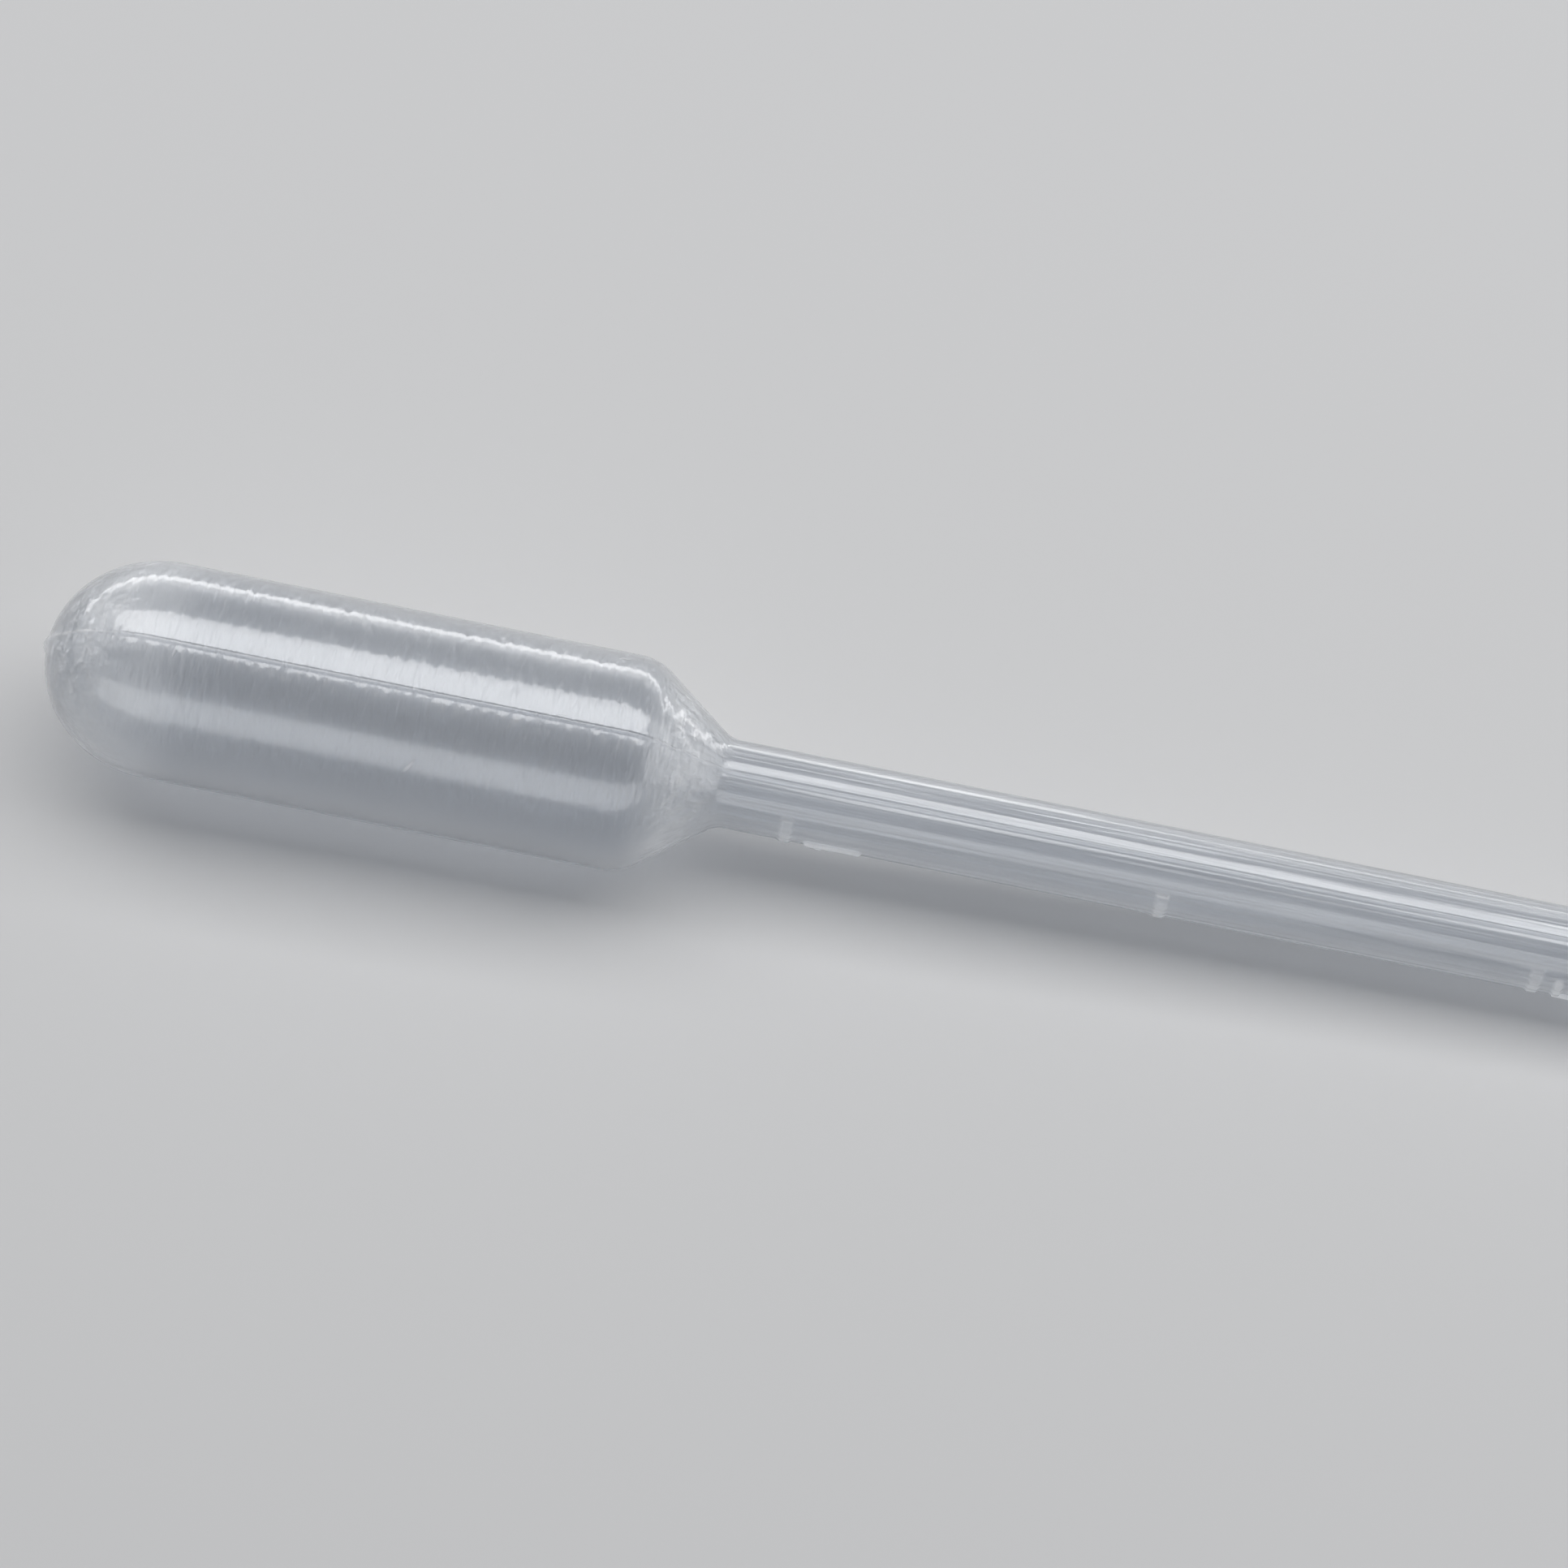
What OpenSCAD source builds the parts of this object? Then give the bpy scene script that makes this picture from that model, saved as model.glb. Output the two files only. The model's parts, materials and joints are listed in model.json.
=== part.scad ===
// Graduated transfer pipette, 1 mL: blow-moulded in one piece, with a squeeze bulb, a marked stem
// and a drawn tip. It lies as it rests on a table, on the bulb's shoulder and the end of the tip.
// +X runs along the pipette towards the tip, and +Z is up. The origin is below the middle of its
// bounding box, at table height.

/* [Overall] */
// Length from the crown of the bulb to the cut end of the tip
total_len = 155; // [145:1:175]

/* [Bulb] */
// Outside diameter of the bulb
bulb_d = 12.1; // [10:0.1:14]
// Length from the crown to the corner where the shoulder meets the stem
bulb_len = 38; // [30:0.5:45]
// Depth of the domed crown
crown_depth = 6.6; // [4:0.1:9]
// Slope of the shoulder against the axis, in degrees
shoulder_angle = 36.7; // [25:0.1:50]
// Radius that rounds the barrel into the shoulder
shoulder_round = 3.2; // [1:0.1:3.6]
// Wall thickness of the bulb
bulb_wall = 0.45; // [0.3:0.05:0.7]

/* [Stem] */
// Outside diameter of the stem
stem_d = 5; // [4.4:0.1:6]
// Wall thickness of the stem
stem_wall = 0.55; // [0.4:0.05:0.8]
// Radius that blends the shoulder into the stem
neck_round = 1.5; // [0.6:0.1:2.5]

/* [Tip] */
// Outside diameter of the drawn tip
tip_d = 2.9; // [2.4:0.1:3.6]
// Wall thickness of the drawn tip
tip_wall = 0.4; // [0.3:0.05:0.6]
// Length of the straight part of the tip
tip_len = 37.2; // [25:0.1:45]
// Length over which the stem narrows to the tip
taper_len = 8; // [4:0.5:15]

/* [Parting line] */
// Width of the bead where the mould halves met
seam_w = 0.35; // [0.2:0.05:0.6]
// Height of the bead, which dies out where the stem narrows to the tip
seam_h = 0.1; // [0.05:0.01:0.2]

/* [Pinch-off at the crown] */
// Width of the fin left where the mould pinched the tube shut
pinch_w = 0.6; // [0.4:0.05:1]
// Height of the fin at the pole
pinch_h = 0.2; // [0.1:0.05:0.5]
// Distance across the crown that the fin takes to die out
pinch_span = 7; // [4:0.5:8]
// Width of the weld ridge inside the crown
weld_w = 1; // [0.7:0.1:2]
// Height of the weld ridge at the pole
weld_h = 0.35; // [0.1:0.05:0.8]

/* [Graduations] */
// Volume between two graduations, in millilitres
step_ml = 0.25; // [0.2:0.05:0.5]
// Highest volume marked, in millilitres
full_ml = 1; // [0.5:0.25:1]
// Width of a raised line at its foot
mark_w = 0.9; // [0.5:0.1:1.5]
// Height of a raised line
mark_h = 0.12; // [0.05:0.01:0.2]
// Part of the way round that a line runs, in degrees
mark_arc = 84; // [40:2:140]

/* [Hidden] */
$fn = 96;
bulb_r = bulb_d / 2;
stem_r = stem_d / 2;
tip_r = tip_d / 2;
stem_bore_r = stem_r - stem_wall;
tip_bore_r = tip_r - tip_wall;
taper_start = total_len - tip_len - taper_len;
taper_end = total_len - tip_len;
// How far a cut runs past a face, and how far a raised feature reaches into its wall
through = 1;
root = 0.3;
dome_steps = 14;
bend_steps = 6;
taper_steps = 10;
mark_steps = 3;

// The barrel and the shoulder's slope would meet in a corner, which the shoulder's arc rounds off.
shoulder_corner = bulb_len - (bulb_r - stem_r) / tan(shoulder_angle);
shoulder_arc_at = shoulder_corner - shoulder_round * tan(shoulder_angle / 2);
neck_arc_at = bulb_len + neck_round * tan(shoulder_angle / 2);

// At rest, the lower edges of the shoulder's arc and of the tip touch the table, and the pipette
// has rolled until the edge of the bead on its bulb touches too and stops it.
rest_run = total_len - shoulder_arc_at;
rest_drop = bulb_r - shoulder_round - tip_r;
tilt = atan(rest_drop / rest_run) + asin(shoulder_round / norm([rest_run, rest_drop]));
rest_roll = atan(seam_w / 2 / (bulb_r + seam_h))
    + acos(bulb_r / norm([bulb_r + seam_h, seam_w / 2]));
crown_lift = total_len * sin(tilt) + tip_r * cos(tilt);
x_low = crown_depth * cos(tilt)
    - norm([(crown_depth + pinch_h) * cos(tilt), bulb_r * sin(tilt)]);
x_high = total_len * cos(tilt) + tip_r * sin(tilt);

// Bore volume from the end of the tip to the foot of the straight stem, in cubic millimetres
taper_mean_r = (stem_bore_r + tip_bore_r) / 2;
taper_swing_r = (stem_bore_r - tip_bore_r) / 2;
foot_volume = PI * pow(tip_bore_r, 2) * tip_len
    + PI * (pow(taper_mean_r, 2) + pow(taper_swing_r, 2) / 2) * taper_len;

// Distance from the crown to the line of a volume, in a full straight bore
function mark_at(ml) = taper_start - (ml * 1000 - foot_volume) / (PI * pow(stem_bore_r, 2));

// Depth of the crown's dome at a distance from the axis, for a dome raised by grow
function dome_at(r, grow) =
    crown_depth - (crown_depth + grow) * sqrt(1 - pow(r / (bulb_r + grow), 2));

// How much of its height a ridge across the crown keeps at a distance from the axis
function fade(r) = 1 - pow(2 * r / pinch_span, 2);

// Half outline from the crown to the end of the tip, as [radius, distance along the axis]. Each
// grow value moves its own stretch outwards, or inwards where it is negative.
function outline(bulb_grow, stem_grow, tip_grow) = concat(
    [for (i = [0 : dome_steps]) let (a = 90 * i / dome_steps)
        [(bulb_r + bulb_grow) * sin(a), crown_depth - (crown_depth + bulb_grow) * cos(a)]],
    [for (i = [0 : bend_steps]) let (a = shoulder_angle * i / bend_steps)
        [bulb_r - shoulder_round + (shoulder_round + bulb_grow) * cos(a),
         shoulder_arc_at + (shoulder_round + bulb_grow) * sin(a)]],
    [for (i = [0 : bend_steps]) let (a = shoulder_angle * (1 - i / bend_steps))
        [stem_r + neck_round - (neck_round - stem_grow) * cos(a),
         neck_arc_at - (neck_round - stem_grow) * sin(a)]],
    [for (i = [0 : taper_steps]) let (u = i / taper_steps, k = (1 + cos(180 * u)) / 2)
        [(tip_r + tip_grow) * (1 - k) + (stem_r + stem_grow) * k, taper_start + taper_len * u]]
);

// Solid of revolution under an outline, which ends at a distance from the crown
module turned(points, end) {
    last = points[len(points) - 1][0];
    rotate_extrude()
        polygon(concat(points, [[last, end], [0, end]]));
}

// Flat plate in the parting plane, of a given thickness
module in_parting_plane(thickness) {
    rotate([90, 0, 0])
        linear_extrude(thickness, center = true)
            children();
}

// Bead that runs all round the blank in the parting plane
module seam_bead() {
    points = outline(seam_h, seam_h, -tip_wall / 2);
    in_parting_plane(seam_w)
        for (side = [0, 1])
            mirror([side, 0])
                polygon(concat(points, [[0, taper_end], [0, 0]]));
}

// Fin across the crown, which dies out to both sides
module pinch_off() {
    in_parting_plane(pinch_w)
        polygon(concat(
            [for (i = [-dome_steps : dome_steps]) let (x = pinch_span / 2 * i / dome_steps)
                [x, dome_at(abs(x), 0) - pinch_h * fade(x)]],
            [[pinch_span / 2, crown_depth], [-pinch_span / 2, crown_depth]]
        ));
}

// Ridge that the pinched tube leaves inside the crown
module weld() {
    in_parting_plane(weld_w)
        polygon(concat(
            [for (i = [-dome_steps : dome_steps]) let (x = pinch_span / 2 * i / dome_steps)
                [x, dome_at(abs(x), -bulb_wall) + weld_h * fade(x)]],
            [[pinch_span / 2, 0], [-pinch_span / 2, 0]]
        ));
}

// Raised line part of the way round the stem, midway between the two parting lines
module graduation(at) {
    translate([0, 0, at])
        rotate([0, 0, 90 - mark_arc / 2])
            rotate_extrude(angle = mark_arc)
                translate([stem_r, 0])
                    polygon(concat(
                        [for (i = [-mark_steps : mark_steps]) let (u = i / mark_steps)
                            [mark_h * (1 - u * u), u * mark_w / 2]],
                        [[-root, mark_w / 2], [-root, -mark_w / 2]]
                    ));
}

// A graduation for each step of volume whose line falls on the straight stem
module graduations() {
    for (ml = [step_ml : step_ml : full_ml + step_ml / 2]) {
        at = mark_at(ml);
        if (at > neck_arc_at + mark_w && at < taper_start - mark_w)
            graduation(at);
    }
}

// Hollow of the bulb, stem and tip, open at the tip
module hollow() {
    difference() {
        turned(outline(-bulb_wall, -stem_wall, -tip_wall), total_len + through);
        weld();
    }
}

// The whole pipette, with its crown at the origin, its axis along Z and its parting plane across Y
module blank() {
    difference() {
        union() {
            turned(outline(0, 0, 0), total_len);
            seam_bead();
            pinch_off();
            graduations();
        }
        hollow();
    }
}

module pipette() {
    color([0.86, 0.88, 0.9, 0.5])
        translate([-(x_low + x_high) / 2, 0, crown_lift])
            rotate([0, 90 + tilt, 0])
                rotate([0, 0, 180 + rest_roll])
                    blank();
}

pipette();
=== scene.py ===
import json
from math import cos, pi, radians, sin, sqrt, tan

import bpy
import numpy as np
from mathutils import Matrix, Vector


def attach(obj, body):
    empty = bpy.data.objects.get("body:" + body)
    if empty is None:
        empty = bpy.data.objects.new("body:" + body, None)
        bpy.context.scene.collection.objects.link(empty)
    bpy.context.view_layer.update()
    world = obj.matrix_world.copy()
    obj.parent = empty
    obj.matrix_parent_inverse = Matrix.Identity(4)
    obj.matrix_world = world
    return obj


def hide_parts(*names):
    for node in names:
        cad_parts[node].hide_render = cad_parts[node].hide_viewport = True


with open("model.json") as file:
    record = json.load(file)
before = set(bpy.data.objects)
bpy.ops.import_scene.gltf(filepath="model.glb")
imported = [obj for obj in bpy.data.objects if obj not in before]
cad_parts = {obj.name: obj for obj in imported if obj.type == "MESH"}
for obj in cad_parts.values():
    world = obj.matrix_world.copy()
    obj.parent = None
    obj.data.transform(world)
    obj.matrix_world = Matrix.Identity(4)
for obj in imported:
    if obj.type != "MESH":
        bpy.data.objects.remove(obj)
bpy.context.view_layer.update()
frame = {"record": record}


# ---- Transfer pipette -----------------------------------------------------------------------
# One piece of soft, milky low-density polyethylene: a tube is pinched shut in a two-part mould
# and blown into the bulb and the marked stem, and its far end is drawn out into the tip.
# It lies on its bulb and its tip, and the bead of the parting line keeps it from rolling.
MM = 0.001
total_len = 155.0
bore_mount = next(m for m in frame["record"]["mounts"] if m["name"] == "tip_bore")
along = Vector(bore_mount["axis"]).normalized()
across = Vector((0, 1, 0))
upward = along.cross(across)
crown = Vector(bore_mount["pos_m"]) - along * total_len * MM

# Sizes in millimetres, with each distance along the axis taken from the crown
bulb_r = 6.05
crown_depth = 6.6
bulb_len = 38.0
shoulder_angle = radians(36.7)
shoulder_round = 3.2
stem_r = 2.5
neck_round = 1.5
tip_r = 1.45
tip_len = 37.2
taper_len = 8.0
bulb_wall, stem_wall, tip_wall = 0.45, 0.55, 0.4
lip_round = 0.06

slope_len = (bulb_r - stem_r) / tan(shoulder_angle)
shoulder_arc_at = bulb_len - slope_len - shoulder_round * tan(shoulder_angle / 2)
neck_arc_at = bulb_len + neck_round * tan(shoulder_angle / 2)
taper_start = total_len - tip_len - taper_len
taper_end = total_len - tip_len

# Angles round the axis, in degrees from straight up towards +Y
parting_angle = -12.1
marks_angle = parting_angle - 90

# Distances of the raised lines for 1, 0.75, 0.5 and 0.25 mL, then the lines' width, rise, reach round
# the stem in degrees and soft edge, and the figures' height, gap, stroke, rise and soft edge
mark_at = np.array([41.82, 62.75, 83.68, 104.61])
mark_w, mark_h, mark_arc, mark_edge = 0.9, 0.12, 84.0, 0.24
digit_h, digit_gap, digit_stroke, digit_raise, digit_edge = 3.2, 1.1, 0.46, 0.17, 0.16

# The bead of the parting line, and the fin and the ridge where the crown was pinched shut
bead_h, bead_half = 0.06, 0.14
fin_h, fin_half = 0.2, 0.42
ridge_h, ridge_half = 0.35, 0.7
pinch_half = 3.5


def stretch(start, stop, step):
    """Distances from start up to, but not including, stop, in equal steps of about the size given."""
    count = max(1, round(abs(stop - start) / step))
    return start + (stop - start) * np.arange(count) / count


def dome_rows(angles, grow):
    """Rows of an ellipse, radius (R + grow) sin a at depth D - (D + grow) cos a, with its normals."""
    r = (bulb_r + grow) * np.sin(angles)
    s = crown_depth - (crown_depth + grow) * np.cos(angles)
    normal = np.stack([np.sin(angles) / (bulb_r + grow), -np.cos(angles) / (crown_depth + grow)], 1)
    return np.column_stack([r, s, normal / np.linalg.norm(normal, axis=1, keepdims=True)])


def straight_rows(s, r_start, r_stop, s_start, s_stop):
    """Rows of a cylinder or a cone: the radius runs evenly from one end to the other."""
    share = (s - s_start) / (s_stop - s_start)
    slope = np.arctan2(r_start - r_stop, s_stop - s_start)
    ones = np.ones_like(s)
    return np.column_stack([r_start + (r_stop - r_start) * share, s, ones * cos(slope), ones * sin(slope)])


def shoulder_rows(angles, grow):
    """Rows of the arc that turns the barrel into the slope, bulging outwards."""
    radius = shoulder_round + grow
    return np.column_stack([
        bulb_r - shoulder_round + radius * np.cos(angles),
        shoulder_arc_at + radius * np.sin(angles),
        np.cos(angles),
        np.sin(angles),
    ])


def neck_rows(angles, grow):
    """Rows of the hollow arc that turns the slope into the stem, as the slope's angle runs down."""
    radius = neck_round - grow
    return np.column_stack([
        stem_r + neck_round - radius * np.cos(angles),
        neck_arc_at - radius * np.sin(angles),
        np.cos(angles),
        np.sin(angles),
    ])


def taper_rows(s, stem_grow, tip_grow):
    """Rows of the taper, whose radius follows half a cosine wave from the stem down to the tip."""
    share = (s - taper_start) / taper_len
    keep = (1 + np.cos(pi * share)) / 2
    r_stem, r_tip = stem_r + stem_grow, tip_r + tip_grow
    fall = (r_stem - r_tip) * pi / 2 / taper_len * np.sin(pi * share)
    length = np.sqrt(1 + fall ** 2)
    return np.column_stack([r_tip + (r_stem - r_tip) * keep, s, 1 / length, fall / length])


def outline(grows, fineness):
    """Rows [radius, distance, normal's radius part, normal's axis part] from the crown to the tip's end.

    The grow values move the bulb, the stem and the tip outwards. Fineness gives the steps near the
    pole, over the dome, along the barrel, down the slope and round both arcs, then the stem's own
    distances, and the step along the tip.
    """
    bulb_g, stem_g, tip_g = grows
    pole, dome, barrel, slope, arcs, stem, tip = fineness
    arc_end = shoulder_rows(np.array([shoulder_angle]), bulb_g)[0]
    neck_start = neck_rows(np.array([shoulder_angle]), stem_g)[0]
    dome_angles = np.concatenate([stretch(0, radians(11), pole), stretch(radians(11), pi / 2, dome)])
    return np.concatenate([
        dome_rows(dome_angles, bulb_g),
        straight_rows(stretch(crown_depth, shoulder_arc_at, barrel), bulb_r + bulb_g, bulb_r + bulb_g,
                      crown_depth, shoulder_arc_at),
        shoulder_rows(stretch(0, shoulder_angle, arcs), bulb_g),
        straight_rows(stretch(arc_end[1], neck_start[1], slope), arc_end[0], neck_start[0],
                      arc_end[1], neck_start[1]),
        neck_rows(shoulder_angle - stretch(0, shoulder_angle, arcs), stem_g),
        straight_rows(stem, stem_r + stem_g, stem_r + stem_g, neck_arc_at, taper_start),
        taper_rows(stretch(taper_start, taper_end, 0.4), stem_g, tip_g),
        straight_rows(stretch(taper_end, total_len - 2 * lip_round, tip), tip_r + tip_g, tip_r + tip_g,
                      taper_end, total_len),
    ])


def lip_rows():
    """Rows over the cut end of the tip, whose two edges are rounded by a small quarter circle."""
    turn = np.linspace(0, pi / 2, 4)
    outer = np.column_stack([
        tip_r - lip_round + lip_round * np.cos(turn),
        total_len - lip_round + lip_round * np.sin(turn),
        np.cos(turn),
        np.sin(turn),
    ])
    inner = outer[::-1].copy()
    inner[:, 0] = 2 * tip_r - tip_wall - inner[:, 0]
    inner[:, 2] *= -1
    return np.concatenate([outer, inner])


def hump(u):
    """A smooth rise over -1 to 1: the square of (1 - u squared), and nought outside."""
    return np.clip(1 - u ** 2, 0, None) ** 2


def plateau(d, half_width, edge):
    """1 well inside a half width, falling by a smooth S curve to 0 over an edge centred on it."""
    t = np.clip((half_width + edge / 2 - d) / edge, 0, 1)
    return t * t * (3 - 2 * t)


def to_stroke(x, y, points):
    """Distance from each place to a pen line through the points: the least over its straight parts."""
    nearest = np.full(np.broadcast(x, y).shape, 1e9)
    for (x0, y0), (x1, y1) in zip(points[:-1], points[1:]):
        dx, dy = x1 - x0, y1 - y0
        t = np.clip(((x - x0) * dx + (y - y0) * dy) / (dx * dx + dy * dy + 1e-12), 0, 1)
        nearest = np.minimum(nearest, np.hypot(x - x0 - t * dx, y - y0 - t * dy))
    return nearest


def figure_one(x, y):
    """Distance to the pen lines of the figure 1: a short flag and an upright."""
    top = digit_h / 2 - digit_stroke / 2
    return to_stroke(x, y, [(-0.62, top - 0.62), (0.12, top), (0.12, -top)])


def figure_half(x, y):
    """Distance to the pen lines of .5: a point, and a 5 with a bar, a stem and an open bowl."""
    top = digit_h / 2 - digit_stroke / 2
    bowl_r = 0.86
    turn = np.radians(np.linspace(142, -140, 15))
    bowl = [(0.34 + bowl_r * cos(t), bowl_r - top + bowl_r * sin(t)) for t in turn]
    five = to_stroke(x, y, [(1.08, top), (-0.2, top), (-0.34, bowl[0][1])] + bowl)
    return np.minimum(five, to_stroke(x, y, [(-1.15, -top), (-1.15, -top + 0.02)]))


def from_marks(theta):
    """Degrees round from the middle of the raised marks, from -180 to 180."""
    return (theta - marks_angle + 180) % 360 - 180


def raised_marks(s, theta):
    """Height of the raised lines and figures: a plateau with soft edges along each of their strokes."""
    turn = from_marks(theta)
    height = np.zeros(np.broadcast(s, theta).shape)
    reach = plateau(np.abs(turn), mark_arc / 2, 4)
    for at in mark_at:
        line = plateau(np.abs(s - at), (mark_w - mark_edge) / 2, mark_edge)
        height = np.maximum(height, mark_h * line * reach)
    x = stem_r * np.sin(np.radians(turn))
    facing = np.abs(turn) < 60
    for at, figure in ((mark_at[0], figure_one), (mark_at[2], figure_half)):
        y = at + digit_gap + digit_h / 2 - s
        raised = digit_raise * plateau(figure(x, y), digit_stroke / 2, digit_edge)
        height = np.maximum(height, raised * facing)
    return height


def parting_bead(r, s, theta):
    """Height of the bead where the mould halves met: a hump over the distance from the parting plane."""
    off = r * np.sin(np.radians(theta - parting_angle))
    keep = np.clip((taper_end - s) / taper_len, 0, 1)
    return bead_h * hump(off / bead_half) * keep * keep * (3 - 2 * keep)


def pinched_rise(r, theta, half_width):
    """Rise of 1 along the pinch: a hump over its width, falling by the square of the run to its ends."""
    off = r * np.sin(np.radians(theta - parting_angle))
    run = r * np.cos(np.radians(theta - parting_angle))
    return hump(off / half_width) * np.clip(1 - (run / pinch_half) ** 2, 0, None)


def from_parting(theta):
    """Degrees round from the nearer of the two parting lines."""
    return np.abs((theta - parting_angle + 90) % 180 - 90)


def ring_angles(count):
    """Angles round the axis, at equal shares of a running total that climbs faster at the parting
    lines and across the raised marks, so that they stand closer together there."""
    fine = np.linspace(-180, 180, 7201)[:-1] + parting_angle
    at_parting = plateau(from_parting(fine), 4.5, 3)
    at_marks = plateau(np.abs(from_marks(fine)), mark_arc / 2 + 2, 6)
    total = np.concatenate([[0], np.cumsum(0.27 + 1.4 * at_parting + 0.42 * at_marks)])
    return np.interp(np.arange(count) * total[-1] / count, total[:-1], fine)


# Distances of the stem's rings of vertices, close together across the raised lines and figures
stem_steps = []
here = neck_arc_at
for at, has_figure in zip(mark_at, (True, False, True, False)):
    stem_steps.append(stretch(here, at - mark_w / 2, 1.3))
    stem_steps.append(stretch(at - mark_w / 2, at + mark_w / 2, 0.075))
    here = at + mark_w / 2
    if has_figure:
        figure_start = at + digit_gap - 0.1
        stem_steps.append(stretch(here, figure_start, 0.3))
        here = at + digit_gap + digit_h + 0.1
        stem_steps.append(stretch(figure_start, here, 0.085))
stem_steps.append(stretch(here, taper_start, 1.2))
stem_steps = np.concatenate(stem_steps)

# The rows run down the outer wall, over the lip and back up the inner wall
outer = outline((0, 0, 0), (radians(0.6), radians(1.8), 0.15, 0.2, radians(3), stem_steps, 2))
inner = outline((-bulb_wall, -stem_wall, -tip_wall),
                (radians(1), radians(3.4), 1, 0.4, radians(5), stretch(neck_arc_at, taper_start, 1.8), 3))
lip = lip_rows()
rows = np.concatenate([outer, lip, inner[::-1]])
is_outer = np.concatenate([np.ones(len(outer)), np.zeros(len(lip) + len(inner))])[:, None] > 0
is_inner = np.concatenate([np.zeros(len(outer) + len(lip)), np.ones(len(inner))])[:, None] > 0
r, s, normal_r, normal_s = (column[:, None] for column in rows.T)
angles = ring_angles(count=150)
theta = angles[None, :]
chance = np.random.default_rng(seed=11)


def random_rings(row_count, harmonics):
    """Random heights, each row its own: waves round the axis of every count up to the given one, with
    random sizes and phases, so that each row closes on itself. The spread is 1."""
    count = np.arange(1, harmonics + 1)[:, None]
    waves = np.concatenate([np.cos(count * np.radians(angles)), np.sin(count * np.radians(angles))])
    return chance.standard_normal((row_count, 2 * harmonics)) @ waves / sqrt(harmonics)


def drawn_out(s, spacing, harmonics):
    """Random heights that run along the axis: random rings at even stations, blended in between."""
    stations = random_rings(int(total_len / spacing) + 2, harmonics)
    place = s[:, 0] / spacing
    before = place.astype(int)
    share = (place - before)[:, None]
    share = share * share * (3 - 2 * share)
    return stations[before] * (1 - share) + stations[before + 1] * share


# Relief that the making leaves: scoring round the bulb beside the parting lines, lines drawn along
# the stem by the die, and waves on the inner wall. On the outside it only cuts into the wall.
score_depth, die_depth, wave_depth = 0.014, 0.014, 0.025
mean_cut, least_cut = 0.03, 0.016
on_bulb = 1 - np.clip((s - 35.5) / 3, 0, 1)
on_stem = np.clip((s - 37) / 2, 0, 1)
beside_parting = plateau(from_parting(theta), 55, 30)
scored = np.diff(random_rings(len(rows) + 1, 30), axis=0) * score_depth
scored = scored * on_bulb * np.clip(r / 1.5, 0, 1) * beside_parting
die_lines = drawn_out(s, 24, 40) * on_stem * die_depth
cut = np.clip(scored + die_lines - mean_cut, None, -least_cut)
waves = drawn_out(s, 7, 4) * wave_depth
marks = raised_marks(s, theta)
bead = parting_bead(r, s, theta)
lift = np.where(is_outer, np.maximum(bead, marks) + cut, 0)
lift = np.where(is_inner, waves * (r > 0.5), lift)

# At the crown the fin stands out from the pole, and the ridge inside it stands in
in_crown = s < crown_depth
fin = np.where(is_outer & in_crown, pinched_rise(r, theta, fin_half), 0)
ridge = np.where(is_inner & in_crown, pinched_rise(r, theta, ridge_half), 0)
radius = r + lift * normal_r
distance = s + lift * normal_s - np.clip(fin_h * fin - lift, 0, None) + ridge_h * ridge

# Each place: the distance along the axis, and the radius round it, taken into the frame in metres
turn = np.radians(theta)
grid = (np.array(crown)
        + MM * (distance[..., None] * np.array(along)
                + (radius * np.cos(turn))[..., None] * np.array(upward)
                + (radius * np.sin(turn))[..., None] * np.array(across)))
row_count, column_count = radius.shape

# The first and last rows are the two poles, each kept as one vertex
places = np.concatenate([grid[0, :1], grid[1:-1].reshape(-1, 3), grid[-1, :1]])
ring_start = 1 + column_count * np.arange(row_count - 2)
step = np.arange(column_count)
after = (step + 1) % column_count
low, high = ring_start[:-1, None], ring_start[1:, None]
quads = np.stack([low + step, high + step, high + after, low + after], -1).reshape(-1, 4)
last_pole = len(places) - 1
first_fan = np.stack([np.zeros_like(step), ring_start[0] + step, ring_start[0] + after], -1)
last_fan = np.stack([np.full_like(step, last_pole), ring_start[-1] + after, ring_start[-1] + step], -1)

# How far each place is whitened, partly by scuffing and partly as a painted highlight: half on the raised
# marks, fully on the fin, and on the parting lines fully over the crown and half on down the first part of
# the barrel
seam_scuff_and_highlight = np.maximum(np.clip((6.5 - s) / 4, 0, 1), 0.5 * np.clip((24 - s) / 8, 0, 1))
rubbed_and_highlight = np.where(is_outer, np.maximum(0.5 * marks / mark_h, seam_scuff_and_highlight * bead / bead_h), 0)
scuff_and_highlight = np.clip(np.maximum(rubbed_and_highlight, fin), 0, 1)

# Where the fine rings run that the mould scored round the bulb
ringed = np.where(is_outer, on_bulb * beside_parting * np.clip(r / 2, 0, 1), 0)

mesh = bpy.data.meshes.new("pipette_blown")
mesh.from_pydata(places.tolist(), [], first_fan.tolist() + quads.tolist() + last_fan.tolist())
mesh.polygons.foreach_set("use_smooth", np.ones(len(mesh.polygons), bool))
# The whitening, part scuffing and part painted highlight, and the rings' reach are stored on the vertices
for name, share in (("scuff_and_highlight", scuff_and_highlight), ("ringed", ringed)):
    by_vertex = np.concatenate([share[0, :1], share[1:-1].ravel(), share[-1, :1]])
    mesh.attributes.new(name, "FLOAT", "POINT").data.foreach_set("value", by_vertex)
mesh.update()
pipette = bpy.data.objects.new("pipette_blown", mesh)
bpy.context.scene.collection.objects.link(pipette)


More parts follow.
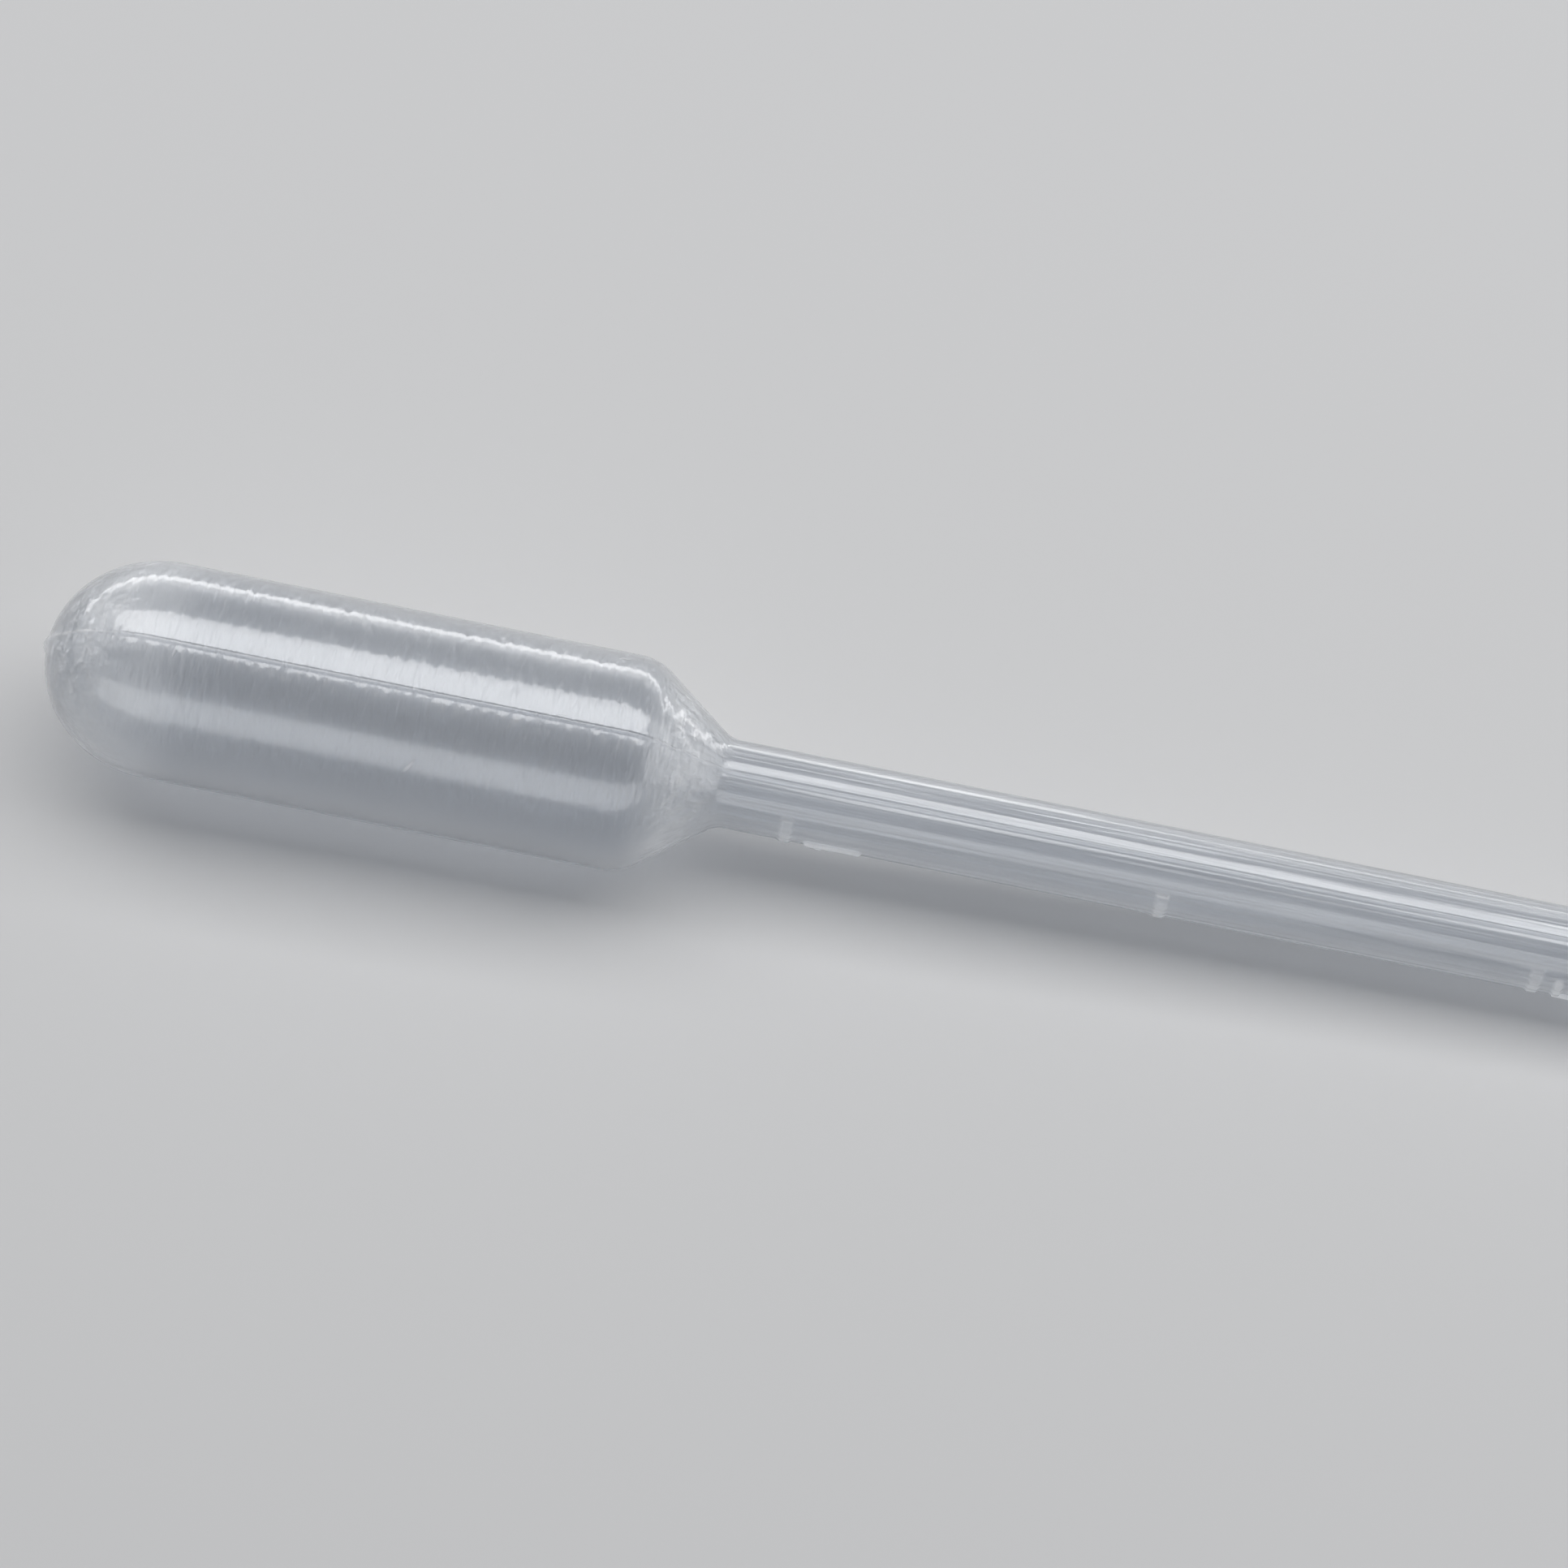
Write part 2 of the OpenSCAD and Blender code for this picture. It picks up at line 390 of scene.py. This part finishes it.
class Value:
    """A socket that takes part in arithmetic: each operator adds the Math node of the same meaning."""

    def __init__(self, tree, socket):
        self.tree, self.socket = tree, socket

    def node(self, kind, settings=None, out=0, **inputs):
        """Adds a node of a type, sets its settings, then fills its sockets with values or links. A
        socket goes by its name, with _ for each space, or by _ and its number."""
        made = self.tree.nodes.new(kind)
        for name, value in (settings or {}).items():
            setattr(made, name, value)
        for name, value in inputs.items():
            spot = made.inputs[int(name[1:]) if name[1:].isdigit() else name.replace("_", " ")]
            if isinstance(value, Value):
                self.tree.links.new(value.socket, spot)
            else:
                spot.default_value = value
        return Value(self.tree, made.outputs[out])

    def math(self, operation, a, b=0.0):
        return self.node("ShaderNodeMath", {"operation": operation}, _0=a, _1=b)

    def greatest(self, other):
        return self.math("MAXIMUM", self, other)

    def rising(self, start, stop, low=0.0, high=1.0):
        """Runs from low to high by a smooth S curve, while this value goes from start to stop."""
        return self.node("ShaderNodeMapRange", {"interpolation_type": "SMOOTHSTEP"}, Value=self,
                         From_Min=start, From_Max=stop, To_Min=low, To_Max=high)

    def __add__(self, other):
        return self.math("ADD", self, other)

    def __radd__(self, other):
        return self.math("ADD", other, self)

    def __sub__(self, other):
        return self.math("SUBTRACT", self, other)

    def __rsub__(self, other):
        return self.math("SUBTRACT", other, self)

    def __mul__(self, other):
        return self.math("MULTIPLY", self, other)

    def __rmul__(self, other):
        return self.math("MULTIPLY", other, self)


polyethylene = bpy.data.materials.new("milky_polyethylene")
polyethylene.use_nodes = True
tree = polyethylene.node_tree
shader = tree.nodes["Principled BSDF"]
tools = Value(tree, None)
place = tools.node("ShaderNodeTexCoord", out="Object")
# X runs along the pipette from its crown here, and one unit is a millimetre
tilt = -np.arctan2(along[2], along[0])
axial = tools.node("ShaderNodeMapping", {"vector_type": "TEXTURE"}, Vector=place,
                   Location=tuple(crown), Rotation=(0, tilt, 0), Scale=(MM, MM, MM))
from_crown = tools.node("ShaderNodeSeparateXYZ", Vector=axial)


def streaks(along_scale, across_scale, detail):
    """Noise drawn out along or across the axis, by one scale for X and another for Y and Z."""
    stretched = tools.node("ShaderNodeVectorMath", {"operation": "MULTIPLY"}, _0=axial,
                           _1=(along_scale, across_scale, across_scale))
    return tools.node("ShaderNodeTexNoise", None, "Fac", Vector=stretched, Scale=1.0, Detail=detail,
                      Roughness=0.5)


def nick(at, angle, half_long, half_wide, slant):
    """A small scratch at a distance along the bulb and an angle round it, its long side turned by
    the slant: 1 less the squared distance from its middle, as shares of its half sizes."""
    round_cos, round_sin = cos(radians(angle)), sin(radians(angle))
    slant_cos, slant_sin = cos(radians(slant)), sin(radians(slant))
    offset = tools.node("ShaderNodeVectorMath", {"operation": "SUBTRACT"}, _0=axial,
                        _1=(at, bulb_r * round_sin, bulb_r * round_cos))
    half_deep = 0.3
    sides = (((slant_cos, slant_sin * round_cos, -slant_sin * round_sin), half_long),
             ((-slant_sin, slant_cos * round_cos, -slant_cos * round_sin), half_wide),
             ((0, round_sin, round_cos), half_deep))
    squared = 0.0
    for direction, half_size in sides:
        share = tools.node("ShaderNodeVectorMath", {"operation": "DOT_PRODUCT"}, "Value", _0=offset,
                           _1=tuple(part / half_size for part in direction))
        squared = squared + share * share
    return (1 - squared).greatest(0.0)


# Rings from the mould on the bulb, drawn lines on the stem, and a few nicks from handling, with
# puckers round the pinched crown and folds down the slope: all heights in millimetres
rings = streaks(3.2, 0.8, 1.0)
lines = streaks(0.03, 1.8, 1.0) * 0.6 + streaks(0.05, 4.6, 1.0) * 0.4
cloud = streaks(0.12, 0.16, 2.0)
nicks = (nick(21.1, -52.5, 0.6, 0.13, 55) + nick(28.9, -10.8, 0.5, 0.11, -6)
         + nick(7.5, -17, 0.4, 0.11, 80) + nick(31.4, 40, 0.4, 0.12, 20)
         + nick(14.2, 140, 0.5, 0.12, 70) + nick(25.8, -120, 0.5, 0.1, 10))
ring_share = tools.node("ShaderNodeAttribute", {"attribute_name": "ringed"}, "Fac")
bulb_share = from_crown.rising(35, 39, 1, 0)
puckers = streaks(0.7, 1.0, 2.0) * from_crown.rising(2, 7, 1, 0) * 0.6
folds = streaks(0.25, 1.3, 2.0) * from_crown.rising(33.5, 35.5) * bulb_share * 0.5
relief = rings * ring_share * 0.2 + lines * (1 - bulb_share) * 0.23 - nicks * 0.12 + puckers + folds
bump = tools.node("ShaderNodeBump", None, 0, Strength=1.0, Distance=MM, Height=relief)
tree.links.new(bump.socket, shader.inputs["Normal"])

# The wall is milkier where it is thick, near the crown and down the slope, and this whitening is partly
# painted highlight; it is white where scuffing or a nick marks it, and where highlights are painted on the
# marks, the fin and the parting lines
near_crown = from_crown.rising(0.8, 3.2, 0, 0.65) * from_crown.rising(5, 9, 1, 0)
on_slope = from_crown.rising(32.8, 35.4, 0, 0.95) * bulb_share
milky_and_highlight = (near_crown + on_slope) * (streaks(0.5, 0.5, 3.0) * 1.2 - 0.1)
scuffs_and_highlights = tools.node("ShaderNodeAttribute", {"attribute_name": "scuff_and_highlight"}, "Fac").greatest(nicks)
white_share = scuffs_and_highlights.greatest(milky_and_highlight)
clear_tint = tools.node("ShaderNodeMix", {"data_type": "RGBA"}, 2, _0=cloud,
                        _6=(0.525, 0.555, 0.6, 1), _7=(0.6, 0.625, 0.66, 1))
# The white share mixes in near-white: part scuffing and milky plastic, part painted highlight
tint = tools.node("ShaderNodeMix", {"data_type": "RGBA"}, 2, _0=white_share, _6=clear_tint,
                  _7=(0.96, 0.97, 0.98, 1))
tree.links.new(tint.socket, shader.inputs["Base Color"])
roughness = white_share * 0.3 + 0.285
tree.links.new(roughness.socket, shader.inputs["Roughness"])
shader.inputs["IOR"].default_value = 1.51
shader.inputs["Transmission Weight"].default_value = 1.0
shader.inputs["Coat Weight"].default_value = 0.9
shader.inputs["Coat Roughness"].default_value = 0.09
shader.inputs["Coat IOR"].default_value = 1.7

# Lamp light passes straight through the thin wall, and a fine haze inside the wall scatters it
is_shadow = tools.node("ShaderNodeLightPath", out="Is Shadow Ray")
pass_light = tools.node("ShaderNodeBsdfTransparent", Color=(0.75, 0.755, 0.765, 1))
surface = tools.node("ShaderNodeMixShader", _0=is_shadow, _1=Value(tree, shader.outputs[0]), _2=pass_light)
haze = tools.node("ShaderNodeVolumeScatter", Color=(0.97, 0.98, 1.0, 1), Density=330.0, Anisotropy=0.2)
tree.links.new(surface.socket, tree.nodes["Material Output"].inputs["Surface"])
tree.links.new(haze.socket, tree.nodes["Material Output"].inputs["Volume"])
bpy.context.scene.cycles.volume_bounces = 6
mesh.materials.append(polyethylene)

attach(pipette, "root")
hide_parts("pipette")


# ---- Table top --------------------------------------------------------------------------------
# A matt, pale grey sheet under the pipette, which takes its shadow. Far from the pipette it takes
# the backdrop's own shade, so that no horizon line shows.
half_size = 3.0
far_shade = (0.44, 0.44, 0.445, 1)
sheet_mesh = bpy.data.meshes.new("table_top")
sheet_corners = [(-half_size, -half_size, 0), (half_size, -half_size, 0),
                 (half_size, half_size, 0), (-half_size, half_size, 0)]
sheet_mesh.from_pydata(sheet_corners, [], [(0, 1, 2, 3)])
table_top = bpy.data.objects.new("table_top", sheet_mesh)
bpy.context.scene.collection.objects.link(table_top)
paper = bpy.data.materials.new("pale_paper")
paper.use_nodes = True
paper_tree = paper.node_tree
paper_shader = paper_tree.nodes["Principled BSDF"]
paper_shader.inputs["Base Color"].default_value = (0.6, 0.6, 0.605, 1)
paper_shader.inputs["Roughness"].default_value = 0.85
paper_tools = Value(paper_tree, None)


def seen_directly(tools):
    """1 for what the camera, a reflection or a view through the pipette sees, 0 for light on its way."""
    by_camera = tools.node("ShaderNodeLightPath", out="Is Camera Ray")
    outputs = by_camera.socket.node.outputs
    in_gloss = Value(tools.tree, outputs["Is Glossy Ray"])
    through = Value(tools.tree, outputs["Is Transmission Ray"])
    return by_camera.greatest(in_gloss.greatest(through))


spot = paper_tools.node("ShaderNodeTexCoord", out="Object")
away = paper_tools.node("ShaderNodeVectorMath", {"operation": "LENGTH"}, "Value", _0=spot)
glow = paper_tools.node("ShaderNodeEmission", Color=far_shade, Strength=1.0)
sheet_face = paper_tools.node("ShaderNodeMixShader", _0=away.rising(0.13, 0.55) * seen_directly(paper_tools),
                              _1=Value(paper_tree, paper_shader.outputs[0]), _2=glow)
paper_tree.links.new(sheet_face.socket, paper_tree.nodes["Material Output"].inputs["Surface"])
sheet_mesh.materials.append(paper)


# ---- Studio light -----------------------------------------------------------------------------
# One long softbox hangs over the pipette and a little behind it, in a dim, even room. Low strips
# behind and before it brighten its long edges, and a panel beyond each end its slopes. These shine
# on the pipette alone, so that the table top keeps the softbox's even light.
lamp_distance = 0.45
pipette_alone = bpy.data.collections.new("pipette_alone")
pipette_alone.objects.link(pipette)


def area_lamp(name, width, height, radiance, stand):
    """A rectangular lamp that stands and turns as the matrix says, and shines down its own -Z. Its
    power is its radiance times pi times its area."""
    lamp = bpy.data.lights.new(name, "AREA")
    lamp.shape = "RECTANGLE"
    lamp.size = width
    lamp.size_y = height
    lamp.energy = radiance * pi * width * height
    lamp_object = bpy.data.objects.new(name, lamp)
    lamp_object.matrix_world = stand
    lamp_object.visible_camera = False
    bpy.context.scene.collection.objects.link(lamp_object)
    return lamp_object


def over_axis(angle):
    """The place at the lamps' distance from the middle, leaning back from straight up by the angle."""
    return Matrix.Rotation(-radians(angle), 4, "X") @ Matrix.Translation((0, 0, lamp_distance))


def beyond_end(x, y, z):
    """The place given, facing back along X."""
    return Matrix.Translation((x, y, z)) @ Vector((x, 0, 0)).to_track_quat("Z", "Y").to_matrix().to_4x4()


area_lamp("softbox", 0.9, 0.31, 3.2, over_axis(16))
fill_lamps = [
    area_lamp("low_strip", 1.6, 0.06, 2.5, over_axis(85)),
    area_lamp("low_strip", 1.6, 0.13, 1.0, over_axis(81)),
    area_lamp("low_strip", 1.2, 0.24, 1.1, over_axis(-66)),
    area_lamp("end_panel", 0.6, 0.42, 1.0, beyond_end(0.6, 0.06, 0.25)),
    area_lamp("end_panel", 0.6, 0.5, 0.85, beyond_end(-0.6, 0.2, 0.3)),
]
for lamp in fill_lamps:
    lamp.light_linking.receiver_collection = pipette_alone

room = bpy.data.worlds.new("room")
bpy.context.scene.world = room
room.use_nodes = True
room_tree = room.node_tree
room_air = room_tree.nodes["Background"]
room_air.inputs["Color"].default_value = (0.9, 0.95, 1.0, 1)
room_air.inputs["Strength"].default_value = 0.12
room_tools = Value(room_tree, None)
backdrop = room_tools.node("ShaderNodeBackground", Color=far_shade, Strength=1.0)
shown = room_tools.node("ShaderNodeMixShader", _0=seen_directly(room_tools),
                        _1=Value(room_tree, room_air.outputs[0]), _2=backdrop)
room_tree.links.new(shown.socket, room_tree.nodes["World Output"].inputs["Surface"])


# ---- Camera -----------------------------------------------------------------------------------
# A long lens looks down on the pipette, square to its axis, and is turned so that the axis
# falls to the right. The stem runs out of the frame on that side.
lens = 150.0
frame_width = 86.25 * MM
lean = radians(28.1)
roll = radians(11.33)
toward_camera = (upward * cos(lean) - across * sin(lean)).normalized()
level_up = toward_camera.cross(along)
right = along * cos(roll) + level_up * sin(roll)
up = level_up * cos(roll) - along * sin(roll)
# The middle of the frame lies this far right of the crown and below it
aim = crown + right * 40.545 * MM - up * 7.527 * MM
camera_data = bpy.data.cameras.new("camera")
camera_data.lens = lens
camera_data.sensor_width = 36.0
camera_data.clip_start = 0.01
camera = bpy.data.objects.new("camera", camera_data)
back = frame_width * lens / camera_data.sensor_width
facing = Matrix((right, up, toward_camera)).transposed().to_4x4()
camera.matrix_world = Matrix.Translation(aim + toward_camera * back) @ facing
bpy.context.scene.collection.objects.link(camera)
bpy.context.scene.camera = camera
bpy.context.scene.view_settings.view_transform = "Standard"
